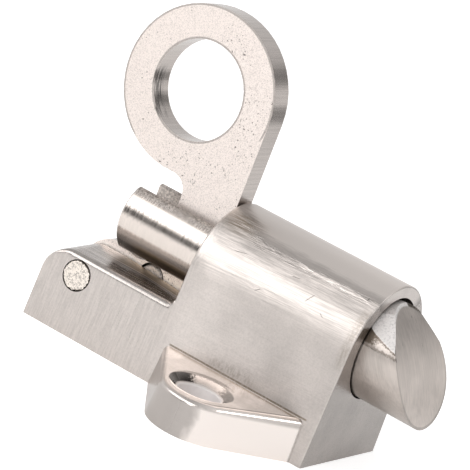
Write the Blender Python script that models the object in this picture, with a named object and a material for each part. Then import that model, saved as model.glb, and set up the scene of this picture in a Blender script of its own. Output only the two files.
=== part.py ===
"""Slam latch: a die-cast housing with two screw ears, a spring bolt with a curved slam
face, and a flat pull-ring lever that draws the bolt back.

Metres, +Z up. The origin is on the underside of the base, midway between the two screw
holes. +X is the way the bolt points, -Y is the side with the peened pin head.
"""

from math import acos, asin, atan2, cos, hypot, pi, radians, sin, sqrt, tan

import bmesh
import bpy
from mathutils import Matrix, Vector

MM = 0.001

# Clearances
FIT_GAP = 0.30 * MM
BOLT_GAP = 0.38 * MM
STEM_GAP = 0.45 * MM
FORK_GAP = 0.95 * MM

# Housing: a drafted base that closes in a round crown over the bolt
FRONT_X = 14.8 * MM
BARREL_LENGTH = 27.4 * MM
TAIL_LENGTH = 21.4 * MM
BASE_HALF_WIDTH = 11.3 * MM
CROWN_RADIUS = 10.25 * MM
CROWN_HEIGHT = 26.85 * MM
FRONT_EDGE = 0.25 * MM
REAR_EDGE = 0.5 * MM

# Tail: two cheeks that carry the lever
CHEEK_OVER_PIVOT = 3.0 * MM
CHEEK_FALL = 0.45 * MM
CHEEK_EDGE = 1.0 * MM
HEEL_RADIUS = 4.0 * MM
HEEL_RISE = 0.45 * MM
ROOT_FILLET = 1.0 * MM
CHANNEL_FLOOR = 3.3 * MM
CHANNEL_BITE = 0.3 * MM

# Screw ears
EAR_HEIGHT = 6.15 * MM
EAR_FALL = 0.75 * MM
EAR_RADIUS = 6.5 * MM
EAR_SHIFT = 0.6 * MM
EAR_REACH = 18.8 * MM
EAR_REAR_X = -11.4 * MM
EAR_FRONT_X = 13.0 * MM
EAR_DRAFT = 0.4 * MM
EAR_EDGE = 0.8 * MM
SCREW_SPACING = 37.0 * MM
SCREW_BORE = 6.2 * MM
SCREW_HEAD = 9.5 * MM
SINK_DEPTH = 1.1 * MM

# Bolt: bevelled nose, shoulder, forked stem
BOLT_HEIGHT = 17.3 * MM
BOLT_RADIUS = 7.4 * MM
DROOP = radians(0.5)
ROLL = radians(2.5)
NOSE_GUIDE = 6.8 * MM
BEVEL_TIP = 10.0 * MM
BEVEL_TOP = 0.3 * MM
BEVEL_RADIUS = 31.0 * MM
FLAT_ROLL = radians(45.0)
FLAT_TILT = radians(5.6)
FLAT_DEPTH = 0.14 * MM
STEM_RADIUS = 5.6 * MM
STEM_RISE = 0.3 * MM
STEM_TAIL = 15.5 * MM
STEM_CHAMFER = 0.35 * MM
FORK_DEPTH = 24.4 * MM
BOLT_TRAVEL = 9.0 * MM

# Rear wall of the bolt's bore
REAR_WALL = 2.8 * MM

# Lever: pull ring, leg and foot, one plate
PLATE = 4.1 * MM
LEVER_GAP = 0.35 * MM
RING_RADIUS = 12.3 * MM
RING_HOLE = 7.3 * MM
RING_HEIGHT = 38.5 * MM
LEG_WIDTH = 8.8 * MM
NECK_FILLET = 2.5 * MM
FOOT_RADIUS = 4.8 * MM
FOOT_FILLET = 3.0 * MM
TOE_RADIUS = 1.5 * MM
TOE_RISE = 0.9 * MM
PLATE_BREAK = 0.2 * MM
LEVER_SWING = radians(28.0)

# Pins
PIVOT_FROM_HEEL = 5.7 * MM
PIVOT_HEIGHT = 8.5 * MM
PIVOT_RADIUS = 2.0 * MM
PIVOT_PROUD = 0.1 * MM
RIVET_RADIUS = 1.9 * MM
RIVET_AHEAD = 6.6 * MM
RIVET_ABOVE = 2.25 * MM
DRIVE_RADIUS = 1.1 * MM
DRIVE_BEHIND = 3.0 * MM
DRIVE_COVER = 1.4 * MM

# Return spring
WIRE_RADIUS = 0.6 * MM
SPRING_TURNS = 6.0
CLOSED_TURNS = 1.0
CLOSED_PITCH = 1.45 * MM

# Places that follow from the sizes above
BARREL_REAR_X = FRONT_X - BARREL_LENGTH
HEEL_X = BARREL_REAR_X - TAIL_LENGTH
CROWN_CENTRE = CROWN_HEIGHT - CROWN_RADIUS
BORE_RADIUS = BOLT_RADIUS + BOLT_GAP
BORE_REAR_X = BARREL_REAR_X + REAR_WALL
SHOULDER_X = FRONT_X - NOSE_GUIDE
STEM_REAR_X = BARREL_REAR_X - STEM_TAIL
PIVOT_X = HEEL_X + PIVOT_FROM_HEEL
CHEEK_HEIGHT = PIVOT_HEIGHT + CHEEK_OVER_PIVOT
LEVER_FRONT_X = BARREL_REAR_X - LEVER_GAP
LEG_REAR_X = LEVER_FRONT_X - LEG_WIDTH
RING_X = LEVER_FRONT_X - RING_RADIUS
CHANNEL_HALF = PLATE / 2 + FIT_GAP
FORK_HALF = PLATE / 2 + FORK_GAP
DRIVE_X = BARREL_REAR_X - DRIVE_BEHIND
DRIVE_HEIGHT = BOLT_HEIGHT - DRIVE_X * tan(DROOP)
STEM_HEIGHT = BOLT_HEIGHT + STEM_RISE
SCREW_Y = SCREW_SPACING / 2
SPRING_RADIUS = (STEM_RADIUS + BORE_RADIUS) / 2
BEYOND = 2 * MM

ARC_STEP = radians(7.5)

# Finishes: (colour, roughness)
SATIN_NICKEL = ((0.56, 0.53, 0.51), 0.34)
BRUSHED_STEEL = ((0.50, 0.48, 0.46), 0.28)
BLASTED_NICKEL = ((0.68, 0.65, 0.62), 0.45)
PEENED_STEEL = ((0.66, 0.62, 0.57), 0.40)
SPRING_STEEL = ((0.42, 0.41, 0.40), 0.25)


def clear_scene():
    for old in list(bpy.data.objects):
        bpy.data.objects.remove(old, do_unlink=True)


def metal(name, finish):
    """A Principled metal of one colour and roughness."""
    colour, roughness = finish
    material = bpy.data.materials.new(name)
    material.use_nodes = True
    shader = material.node_tree.nodes["Principled BSDF"]
    shader.inputs["Base Color"].default_value = (*colour, 1.0)
    shader.inputs["Metallic"].default_value = 1.0
    shader.inputs["Roughness"].default_value = roughness
    return material


def arc(centre, radius, start, end):
    """Points along an arc in a plane, in even steps, from one angle to the other."""
    steps = max(2, round(abs(end - start) / ARC_STEP))
    turn = (end - start) / steps
    return [
        (centre[0] + radius * cos(start + turn * i), centre[1] + radius * sin(start + turn * i))
        for i in range(steps + 1)
    ]


def tangent_angle(centre_a, radius_a, centre_b, radius_b, side):
    """Angle of the normal that a tangent line shares with two circles; side is +1 or -1."""
    dx = centre_b[0] - centre_a[0]
    dy = centre_b[1] - centre_a[1]
    return atan2(dy, dx) + side * acos((radius_a - radius_b) / hypot(dx, dy))


def finish_mesh(bm, name, origin, material):
    """Closes a bmesh into a smooth-shaded object whose origin is at the given point."""
    bmesh.ops.remove_doubles(bm, verts=bm.verts, dist=1e-7)
    bmesh.ops.recalc_face_normals(bm, faces=bm.faces)
    bmesh.ops.translate(bm, verts=bm.verts, vec=-Vector(origin))
    mesh = bpy.data.meshes.new(name)
    bm.to_mesh(mesh)
    bm.free()
    mesh.shade_smooth()
    mesh.set_sharp_from_angle(angle=radians(30))
    if material:
        mesh.materials.append(material)
    obj = bpy.data.objects.new(name, mesh)
    obj.location = origin
    bpy.context.scene.collection.objects.link(obj)
    return obj


def loft(sections):
    """A closed solid through matching closed sections, capped at both ends."""
    bm = bmesh.new()
    rings = [[bm.verts.new(point) for point in section] for section in sections]
    for low, high in zip(rings, rings[1:]):
        for i, vert in enumerate(low):
            after = (i + 1) % len(low)
            bm.faces.new((vert, low[after], high[after], high[i]))
    bm.faces.new(rings[0])
    bm.faces.new(rings[-1])
    return bm


def plate(outline, y_low, y_high):
    """A flat plate: an (x, z) outline given thickness along Y."""
    return loft([[(x, y, z) for x, z in outline] for y in (y_low, y_high)])


def turned(profile, direction, origin):
    """A solid of revolution from (distance along the axis, radius) points."""
    bm = bmesh.new()
    verts = [bm.verts.new((radius, 0, along)) for along, radius in profile]
    edges = [bm.edges.new(pair) for pair in zip(verts, verts[1:])]
    steps = round(2 * pi / ARC_STEP)
    bmesh.ops.spin(
        bm, geom=verts + edges, cent=(0, 0, 0), axis=(0, 0, 1), angle=2 * pi, steps=steps, use_merge=True
    )
    turn = Vector((0, 0, 1)).rotation_difference(Vector(direction)).to_matrix().to_4x4()
    bmesh.ops.transform(bm, verts=bm.verts, matrix=Matrix.Translation(origin) @ turn)
    bmesh.ops.remove_doubles(bm, verts=bm.verts, dist=1e-7)
    return bm


def rod(radius, start, end):
    """A plain round bar between two points on its axis."""
    start = Vector(start)
    length = (Vector(end) - start).length
    return turned([(0, 0), (0, radius), (length, radius), (length, 0)], Vector(end) - start, start)


def combine(target, helper_mesh, name, operation):
    """Joins or cuts the target with a hidden helper, through a live Boolean."""
    helper = finish_mesh(helper_mesh, name, (0, 0, 0), None)
    helper.hide_render = True
    helper.display_type = "WIRE"
    modifier = target.modifiers.new(name, "BOOLEAN")
    modifier.operation = operation
    modifier.solver = "EXACT"
    modifier.object = helper
    return helper


def side_lean():
    """Angle by which each side of the base leans in to meet the round crown."""
    foot = hypot(BASE_HALF_WIDTH, CROWN_CENTRE)
    return pi / 2 - atan2(CROWN_CENTRE, BASE_HALF_WIDTH) - asin(CROWN_RADIUS / foot)


def side_half_width(height):
    """Half the width of the drafted base at a height."""
    return BASE_HALF_WIDTH - height * tan(side_lean())


def body_section(x, inset):
    """The barrel's section, a tombstone, drawn in by an edge rounding."""
    lean = side_lean()
    crown = arc((0, CROWN_CENTRE), CROWN_RADIUS - inset, lean, pi - lean)
    foot = BASE_HALF_WIDTH - inset / cos(lean)
    return [(x, y, z) for y, z in [(foot, 0)] + crown + [(-foot, 0)]]


def edge_rounding(radius, steps=3):
    """(distance from the end face, inset) along a quarter round, outermost first."""
    return [
        (radius * (1 - cos(pi / 2 * i / steps)), radius * (1 - sin(pi / 2 * i / steps)))
        for i in range(steps + 1)
    ]


def barrel_mesh():
    front = [body_section(FRONT_X - back, inset) for back, inset in edge_rounding(FRONT_EDGE)]
    rear = [body_section(BARREL_REAR_X + back, inset) for back, inset in edge_rounding(REAR_EDGE)]
    return loft(rear + front[::-1])


def tail_section(x, height, edge, lift):
    """A cheek section: drafted side, rounded top edge, top that leans to the channel's edge."""
    shoulder = (side_half_width(height) - edge, height - edge)
    corner = [
        (shoulder[0] + edge * cos(turn), shoulder[1] + edge * sin(turn))
        for turn in (pi / 2 * i / 5 for i in range(6))
    ]
    middle = height + lift * shoulder[0] / (shoulder[0] - CHANNEL_HALF)
    half = [(BASE_HALF_WIDTH, 0)] + corner + [(0, middle)]
    other = [(-y, z) for y, z in reversed(half[:-1])]
    return [(x, y, z) for y, z in half + other]


def tail_mesh():
    """The tail's outer form: round heel, straight top, small fillet up to the barrel."""
    heel = (HEEL_X + HEEL_RADIUS, CHEEK_HEIGHT - HEEL_RADIUS)
    least_edge = 0.15 * MM
    sections = []
    for x, z in arc(heel, HEEL_RADIUS, pi, pi / 2):
        climb = (z - heel[1]) / HEEL_RADIUS
        edge = max(least_edge, CHEEK_EDGE * climb**2)
        sections.append(tail_section(x, z, edge, HEEL_RISE * climb**2))
    root = (BARREL_REAR_X - ROOT_FILLET, CHEEK_HEIGHT + ROOT_FILLET)
    for x, z in arc(root, ROOT_FILLET, -pi / 2, 0):
        sections.append(tail_section(x, z, CHEEK_EDGE, -CHEEK_FALL))
    sections.append(tail_section(BARREL_REAR_X + REAR_EDGE, root[1], CHEEK_EDGE, -CHEEK_FALL))
    return loft(sections)


def ear_level(height, inset, side):
    """One level of an ear: a round boss with two straight flanks that run into the base."""
    centre = (EAR_SHIFT, EAR_REACH)
    radius = EAR_RADIUS - inset
    root_y = BASE_HALF_WIDTH - REAR_EDGE
    front_normal = tangent_angle(centre, EAR_RADIUS, (EAR_FRONT_X, BASE_HALF_WIDTH), 0, 1)
    rear_normal = 2 * pi + tangent_angle(centre, EAR_RADIUS, (EAR_REAR_X, BASE_HALF_WIDTH), 0, -1)
    boss = arc(centre, radius, front_normal, rear_normal)
    roots = []
    for (x, y), normal in ((boss[0], front_normal), (boss[-1], rear_normal)):
        roots.append((x + (y - root_y) * tan(normal), root_y))
    outline = [roots[0]] + boss + [roots[1]]
    level = []
    for x, y in outline:
        fall = EAR_FALL * (y - BASE_HALF_WIDTH) / (EAR_REACH + EAR_RADIUS - BASE_HALF_WIDTH)
        level.append((x, side * y, height * (1 - fall / EAR_HEIGHT)))
    return level


def ear_mesh(side):
    """An ear from its flat underside up its drafted wall and over its rounded edge."""
    rounding = [
        (EAR_HEIGHT - down, EAR_DRAFT + inset) for down, inset in reversed(edge_rounding(EAR_EDGE, 5))
    ]
    return loft([ear_level(z, inset, side) for z, inset in [(0, 0)] + rounding])


def screw_hole_mesh(side):
    """A hole with a shallow countersink, open above for the screw's head."""
    bore = SCREW_BORE / 2
    head = SCREW_HEAD / 2
    rim = EAR_HEIGHT - EAR_FALL * (SCREW_Y - BASE_HALF_WIDTH) / (
        EAR_REACH + EAR_RADIUS - BASE_HALF_WIDTH
    )
    cone = rim - SINK_DEPTH
    over = EAR_FALL / 2
    spread = head + over * (head - bore) / SINK_DEPTH
    above = EAR_HEIGHT + BEYOND
    profile = [
        (-BEYOND, 0),
        (-BEYOND, bore),
        (cone, bore),
        (rim + over, spread),
        (above, spread),
        (above, 0),
    ]
    return turned(profile, (0, 0, 1), (0, side * SCREW_Y, 0))


def channel_mesh():
    """The slot between the cheeks, open at the heel and up into the stem's hole."""
    front = BARREL_REAR_X + CHANNEL_BITE
    return plate(
        [
            (HEEL_X - BEYOND, CHANNEL_FLOOR),
            (front, CHANNEL_FLOOR),
            (front, BOLT_HEIGHT),
            (HEEL_X - BEYOND, BOLT_HEIGHT),
        ],
        -CHANNEL_HALF,
        CHANNEL_HALF,
    )


def make_housing(material):
    housing = finish_mesh(barrel_mesh(), "housing", (0, 0, 0), material)
    combine(housing, tail_mesh(), "tail_form", "UNION")
    for name, side in (("ear_form_near", -1), ("ear_form_far", 1)):
        combine(housing, ear_mesh(side), name, "UNION")
    bore = rod(BORE_RADIUS, (BORE_REAR_X, 0, BOLT_HEIGHT), (FRONT_X + BEYOND, 0, BOLT_HEIGHT))
    combine(housing, bore, "bolt_bore", "DIFFERENCE")
    outside = (BARREL_REAR_X - BEYOND, 0, STEM_HEIGHT)
    neck = rod(STEM_RADIUS + STEM_GAP, outside, (BORE_REAR_X + BEYOND, 0, STEM_HEIGHT))
    combine(housing, neck, "stem_hole", "DIFFERENCE")
    combine(housing, channel_mesh(), "lever_channel", "DIFFERENCE")
    reach = BASE_HALF_WIDTH + BEYOND
    pin_hole = rod(
        PIVOT_RADIUS + FIT_GAP, (PIVOT_X, -reach, PIVOT_HEIGHT), (PIVOT_X, reach, PIVOT_HEIGHT)
    )
    combine(housing, pin_hole, "pivot_hole", "DIFFERENCE")
    for name, side in (("screw_hole_near", -1), ("screw_hole_far", 1)):
        combine(housing, screw_hole_mesh(side), name, "DIFFERENCE")
    return housing


def bevel_cutter():
    """What the slam face removes: all that lies ahead of a long, gently convex arc."""
    low = (FRONT_X + BEVEL_TIP, BOLT_HEIGHT - BOLT_RADIUS)
    high = (FRONT_X + BEVEL_TOP, BOLT_HEIGHT + BOLT_RADIUS)
    chord = Vector((high[0] - low[0], high[1] - low[1]))
    rise = sqrt(BEVEL_RADIUS**2 - (chord.length / 2) ** 2)
    inward = Vector((-chord.y, chord.x)).normalized()
    centre = (Vector(low) + Vector(high)) / 2 + inward * rise
    over = BEYOND / BEVEL_RADIUS
    start = atan2(low[1] - centre.y, low[0] - centre.x) - over
    end = atan2(high[1] - centre.y, high[0] - centre.x) + over
    steps = 24
    face = [
        (
            centre.x + BEVEL_RADIUS * cos(start + (end - start) * i / steps),
            centre.y + BEVEL_RADIUS * sin(start + (end - start) * i / steps),
        )
        for i in range(steps + 1)
    ]
    ahead = FRONT_X + BEVEL_TIP + 2 * BEYOND
    outline = face + [(ahead, face[-1][1]), (ahead, face[0][1])]
    reach = BOLT_RADIUS + BEYOND
    return plate(outline, -reach, reach)


def flat_cutter(side):
    """One of the two shallow flats on the nose's upper sides, deepest at the tip."""
    bm = bmesh.new()
    bmesh.ops.create_cube(bm, size=1)
    size = 6 * BOLT_RADIUS
    bmesh.ops.scale(bm, verts=bm.verts, vec=(size, size, size))
    bmesh.ops.translate(bm, verts=bm.verts, vec=(0, 0, size / 2 + BOLT_RADIUS - FLAT_DEPTH))
    about_face = Matrix.Translation((0, 0, BOLT_RADIUS - FLAT_DEPTH))
    tilt = about_face @ Matrix.Rotation(FLAT_TILT, 4, "Y") @ about_face.inverted()
    place = Matrix.Translation((FRONT_X, 0, BOLT_HEIGHT))
    bmesh.ops.transform(bm, verts=bm.verts, matrix=place @ Matrix.Rotation(-side * FLAT_ROLL, 4, "X") @ tilt)
    return bm


def make_bolt(material):
    nose = rod(BOLT_RADIUS, (SHOULDER_X, 0, BOLT_HEIGHT), (FRONT_X + BEVEL_TIP + BEYOND, 0, BOLT_HEIGHT))
    bolt = finish_mesh(nose, "bolt", (0, 0, BOLT_HEIGHT), material)
    stem_profile = [
        (STEM_REAR_X, 0),
        (STEM_REAR_X, STEM_RADIUS - STEM_CHAMFER),
        (STEM_REAR_X + STEM_CHAMFER, STEM_RADIUS),
        (SHOULDER_X + BEYOND, STEM_RADIUS),
        (SHOULDER_X + BEYOND, 0),
    ]
    stem = turned(stem_profile, (1, 0, 0), (0, 0, STEM_HEIGHT))
    helpers = [combine(bolt, stem, "stem_form", "UNION")]
    helpers.append(combine(bolt, bevel_cutter(), "slam_face", "DIFFERENCE"))
    for name, side in (("nose_flat_near", -1), ("nose_flat_far", 1)):
        helpers.append(combine(bolt, flat_cutter(side), name, "DIFFERENCE"))
    tall = STEM_RADIUS + BEYOND
    fork_end = STEM_REAR_X + FORK_DEPTH
    fork = plate(
        [
            (STEM_REAR_X - BEYOND, BOLT_HEIGHT - tall),
            (fork_end, BOLT_HEIGHT - tall),
            (fork_end, BOLT_HEIGHT + tall),
            (STEM_REAR_X - BEYOND, BOLT_HEIGHT + tall),
        ],
        -FORK_HALF,
        FORK_HALF,
    )
    helpers.append(combine(bolt, fork, "fork_slot", "DIFFERENCE"))
    blind_end = -STEM_RADIUS + DRIVE_COVER
    drive_hole = rod(
        DRIVE_RADIUS + FIT_GAP, (DRIVE_X, blind_end, BOLT_HEIGHT), (DRIVE_X, tall, BOLT_HEIGHT)
    )
    helpers.append(combine(bolt, drive_hole, "drive_pin_hole", "DIFFERENCE"))
    for helper in helpers:
        helper.parent = bolt
        helper.location = (0, 0, -BOLT_HEIGHT)
    bolt.rotation_euler = (ROLL, DROOP, 0)
    return bolt


def lever_outline():
    """The (x, z) outline of ring, leg and foot, counterclockwise from the top of the foot."""
    pivot = (PIVOT_X, PIVOT_HEIGHT)
    ring = (RING_X, RING_HEIGHT)
    toe = (LEVER_FRONT_X - TOE_RADIUS, PIVOT_HEIGHT + TOE_RISE)
    sole = tangent_angle(pivot, FOOT_RADIUS, toe, TOE_RADIUS, -1)

    ankle_x = LEG_REAR_X - FOOT_FILLET
    ankle_rise = sqrt((FOOT_RADIUS + FOOT_FILLET) ** 2 - (ankle_x - PIVOT_X) ** 2)
    ankle = (ankle_x, PIVOT_HEIGHT + ankle_rise)
    ankle_turn = atan2(ankle[1] - pivot[1], ankle[0] - pivot[0])

    neck_x = LEG_REAR_X - NECK_FILLET
    neck_drop = sqrt((RING_RADIUS + NECK_FILLET) ** 2 - (neck_x - RING_X) ** 2)
    neck = (neck_x, RING_HEIGHT - neck_drop)
    neck_turn = atan2(neck[1] - ring[1], neck[0] - ring[0])

    foot = arc(pivot, FOOT_RADIUS, ankle_turn, 2 * pi + sole)
    tip = arc(toe, TOE_RADIUS, sole, 0)
    loop = arc(ring, RING_RADIUS, 0, 2 * pi + neck_turn)
    throat = arc(neck, NECK_FILLET, neck_turn + pi, 0)
    hollow = arc(ankle, FOOT_FILLET, 0, ankle_turn - pi)
    return foot + tip + loop + throat[1:] + hollow[:-1]


def drive_path(steps=9):
    """Where the drive pin runs in the lever, as the bolt's travel and the swing advance together."""
    points = []
    for i in range(steps + 1):
        share = i / steps
        dx = DRIVE_X - BOLT_TRAVEL * share - PIVOT_X
        dz = DRIVE_HEIGHT - PIVOT_HEIGHT
        turn = -LEVER_SWING * share
        points.append(
            (
                PIVOT_X + dx * cos(turn) - dz * sin(turn),
                PIVOT_HEIGHT + dx * sin(turn) + dz * cos(turn),
            )
        )
    return points


def slot_outline(path, half):
    """A slot of even width round a path, with round ends."""
    left = []
    right = []
    for i, (x, z) in enumerate(path):
        before = path[max(i - 1, 0)]
        after = path[min(i + 1, len(path) - 1)]
        heading = atan2(after[1] - before[1], after[0] - before[0])
        left.append((x + half * cos(heading + pi / 2), z + half * sin(heading + pi / 2)))
        right.append((x + half * cos(heading - pi / 2), z + half * sin(heading - pi / 2)))
    first = atan2(path[1][1] - path[0][1], path[1][0] - path[0][0])
    last = atan2(path[-1][1] - path[-2][1], path[-1][0] - path[-2][0])
    far_end = arc(path[-1], half, last - pi / 2, last + pi / 2)
    near_end = arc(path[0], half, first + pi / 2, first + 3 * pi / 2)
    return right[:-1] + far_end + left[-2:0:-1] + near_end[:-1]


def make_lever(material):
    half = PLATE / 2
    pivot = (PIVOT_X, 0, PIVOT_HEIGHT)
    lever = finish_mesh(plate(lever_outline(), -half, half), "pull_ring_lever", pivot, material)
    through = half + BEYOND
    holes = (
        ("ring_hole", RING_HOLE, RING_X, RING_HEIGHT),
        ("lever_pivot_hole", PIVOT_RADIUS + FIT_GAP, PIVOT_X, PIVOT_HEIGHT),
        ("rivet_hole", RIVET_RADIUS + FIT_GAP, PIVOT_X + RIVET_AHEAD, PIVOT_HEIGHT + RIVET_ABOVE),
    )
    for name, radius, x, z in holes:
        combine(lever, rod(radius, (x, -through, z), (x, through, z)), name, "DIFFERENCE")
    slot = plate(slot_outline(drive_path(), DRIVE_RADIUS + FIT_GAP), -through, through)
    combine(lever, slot, "drive_slot", "DIFFERENCE")
    edge = lever.modifiers.new("edge_break", "BEVEL")
    edge.width = PLATE_BREAK
    edge.segments = 1
    edge.limit_method = "ANGLE"
    edge.angle_limit = radians(60)
    return lever


def pin_mesh(radius, x, z, y_low, y_high):
    """A round pin along Y with a small chamfer at each end."""
    chamfer = 0.12 * radius
    length = y_high - y_low
    profile = [
        (0, 0),
        (0, radius - chamfer),
        (chamfer, radius),
        (length - chamfer, radius),
        (length, radius - chamfer),
        (length, 0),
    ]
    return turned(profile, (0, 1, 0), (x, y_low, z))


def make_pins(material, bolt):
    end = side_half_width(PIVOT_HEIGHT) + PIVOT_PROUD
    pivot = pin_mesh(PIVOT_RADIUS, PIVOT_X, PIVOT_HEIGHT, -end, end)
    rivet_at = (PIVOT_X + RIVET_AHEAD, PIVOT_HEIGHT + RIVET_ABOVE)
    rivet = pin_mesh(RIVET_RADIUS, *rivet_at, -PLATE / 2, PLATE / 2)
    drive = pin_mesh(
        DRIVE_RADIUS,
        DRIVE_X,
        BOLT_HEIGHT,
        -STEM_RADIUS + DRIVE_COVER + FIT_GAP,
        STEM_RADIUS - FIT_GAP,
    )
    finish_mesh(pivot, "pivot_pin", (PIVOT_X, 0, PIVOT_HEIGHT), material)
    finish_mesh(rivet, "lever_rivet", (rivet_at[0], 0, rivet_at[1]), material)
    drive_pin = finish_mesh(drive, "drive_pin", (DRIVE_X, 0, BOLT_HEIGHT), material)
    drive_pin.parent = bolt
    drive_pin.location = (DRIVE_X, 0, 0)


def make_spring(material):
    """A compression spring round the stem, with one closed turn at each end."""
    start = BORE_REAR_X + FIT_GAP + WIRE_RADIUS
    end = SHOULDER_X - FIT_GAP - WIRE_RADIUS
    open_turns = SPRING_TURNS - 2 * CLOSED_TURNS
    open_pitch = (end - start - 2 * CLOSED_TURNS * CLOSED_PITCH) / open_turns
    per_turn = 20
    count = round(SPRING_TURNS * per_turn)
    curve = bpy.data.curves.new("return_spring", "CURVE")
    curve.dimensions = "3D"
    curve.bevel_depth = WIRE_RADIUS
    curve.bevel_resolution = 2
    curve.use_fill_caps = True
    curve.materials.append(material)
    spline = curve.splines.new("POLY")
    spline.points.add(count)
    for i in range(count + 1):
        turns = i / per_turn
        closed = min(turns, CLOSED_TURNS) + max(turns - CLOSED_TURNS - open_turns, 0)
        x = start + closed * CLOSED_PITCH + (turns - closed) * open_pitch
        angle = 2 * pi * turns
        spline.points[i].co = (x, SPRING_RADIUS * cos(angle), SPRING_RADIUS * sin(angle), 1)
    spring = bpy.data.objects.new("return_spring", curve)
    spring.location = (0, 0, BOLT_HEIGHT)
    bpy.context.scene.collection.objects.link(spring)
    return spring


def main():
    clear_scene()
    nickel = metal("satin_nickel", SATIN_NICKEL)
    steel = metal("brushed_steel", BRUSHED_STEEL)
    plated = metal("blasted_nickel", BLASTED_NICKEL)
    peened = metal("peened_steel", PEENED_STEEL)
    spring_steel = metal("spring_steel", SPRING_STEEL)
    make_housing(nickel)
    bolt = make_bolt(steel)
    make_lever(plated)
    make_pins(peened, bolt)
    make_spring(spring_steel)


main()
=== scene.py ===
"""Looks of a surface-mounted slam latch: satin nickel casting, brushed steel bolt and
blasted pull-ring lever, on a plain white table under soft studio light."""

import logging
import random
from dataclasses import dataclass
from enum import Enum
from functools import reduce
from math import cos, pi, radians, sin, tan

import bmesh
import bpy
from mathutils import Matrix, Vector


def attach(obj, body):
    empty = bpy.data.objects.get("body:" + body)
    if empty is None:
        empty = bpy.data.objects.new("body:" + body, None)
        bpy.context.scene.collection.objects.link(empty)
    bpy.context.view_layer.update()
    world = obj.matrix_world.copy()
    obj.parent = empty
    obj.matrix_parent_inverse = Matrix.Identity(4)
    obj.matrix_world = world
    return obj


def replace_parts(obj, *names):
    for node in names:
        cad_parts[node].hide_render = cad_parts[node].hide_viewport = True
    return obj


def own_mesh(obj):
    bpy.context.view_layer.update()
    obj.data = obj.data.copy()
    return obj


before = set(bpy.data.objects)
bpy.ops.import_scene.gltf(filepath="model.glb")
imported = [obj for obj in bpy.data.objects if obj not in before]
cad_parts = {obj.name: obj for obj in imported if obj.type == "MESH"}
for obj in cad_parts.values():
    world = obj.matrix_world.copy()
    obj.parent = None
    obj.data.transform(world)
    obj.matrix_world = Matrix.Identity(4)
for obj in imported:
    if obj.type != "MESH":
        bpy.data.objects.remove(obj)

MM = 0.001
log = logging.getLogger("slam_latch")

Socket = bpy.types.NodeSocket
Value = Socket | float

NOISE_LOW = 0.3
NOISE_HIGH = 0.7
WELD_DISTANCE = 2e-6
FLAT_ANGLE = 0.6


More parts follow.
